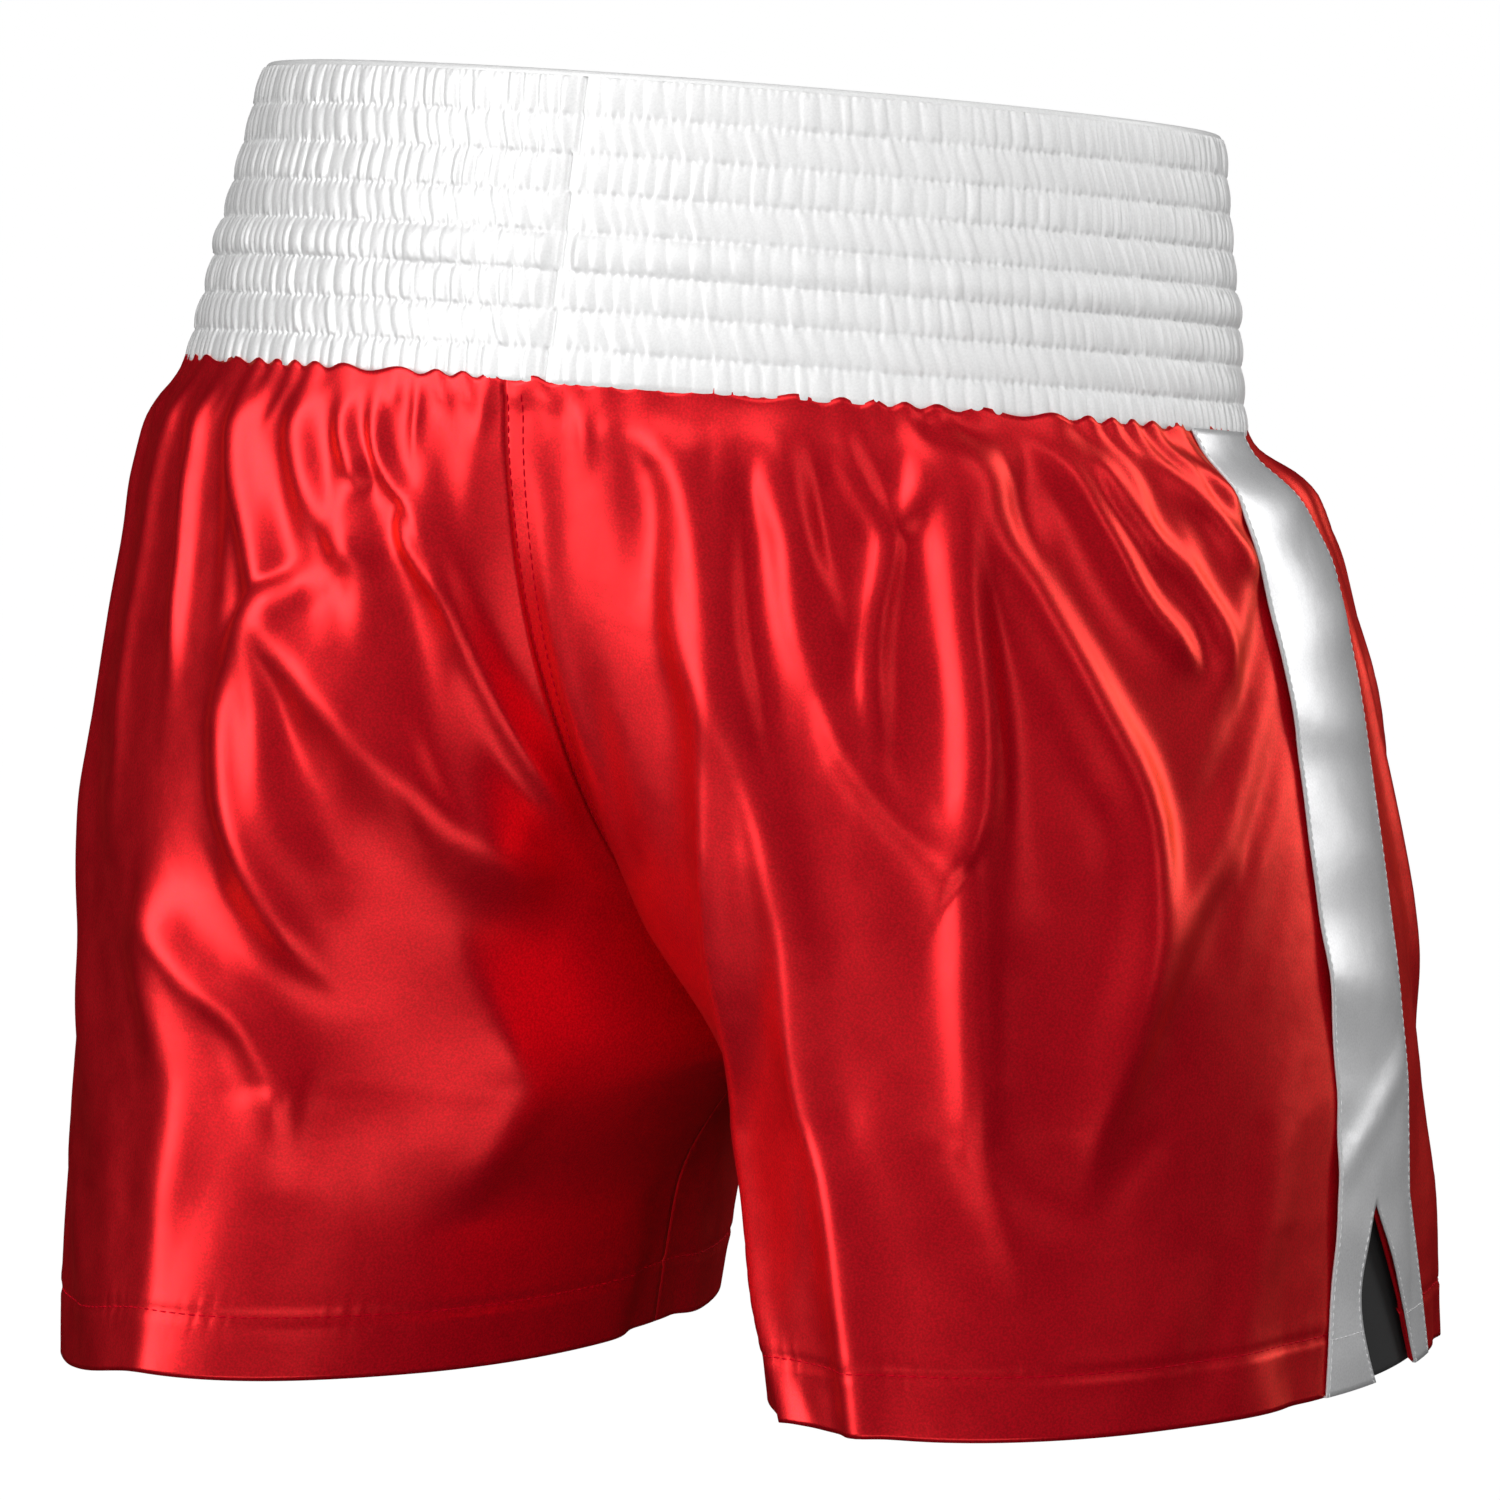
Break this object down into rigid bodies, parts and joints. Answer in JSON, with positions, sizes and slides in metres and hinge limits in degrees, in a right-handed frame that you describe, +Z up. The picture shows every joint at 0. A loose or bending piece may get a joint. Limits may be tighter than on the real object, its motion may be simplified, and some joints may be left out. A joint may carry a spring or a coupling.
{
  "type": "boxing shorts",
  "caption": "Loose satin boxing shorts with a tall elasticated channelled waistband, contrast side stripes and a vent at each side of the hem.",
  "frame": {"origin": "centre of the waist opening, at the height of the waistband's top fold", "axes": "+Z up along the wearer's body, +X towards the wearer's left, -Y the way the wearer faces"},
  "size_m": [0.4364, 0.3288, 0.4175],
  "materials": {
    "white_satin": "white satin, shirred",
    "elastic": "woven elastic tape",
    "red_satin": "red satin, strong soft-edged sheen",
    "stripe_satin": "white satin",
    "charcoal_lining": "matt dark lining"
  },
  "bodies": {
    "root": {"waistband_cover": "white_satin", "elastic_1": "elastic", "elastic_2": "elastic", "elastic_3": "elastic", "elastic_4": "elastic", "elastic_5": "elastic", "elastic_6": "elastic", "elastic_7": "elastic", "elastic_8": "elastic", "back_panel_left": "red_satin", "back_panel_right": "red_satin", "front_panel_left": "red_satin", "front_panel_right": "red_satin", "side_stripe_left": "stripe_satin", "side_stripe_right": "stripe_satin", "vent_inset_left": "charcoal_lining", "vent_inset_right": "charcoal_lining"}
  },
  "joints": []
}
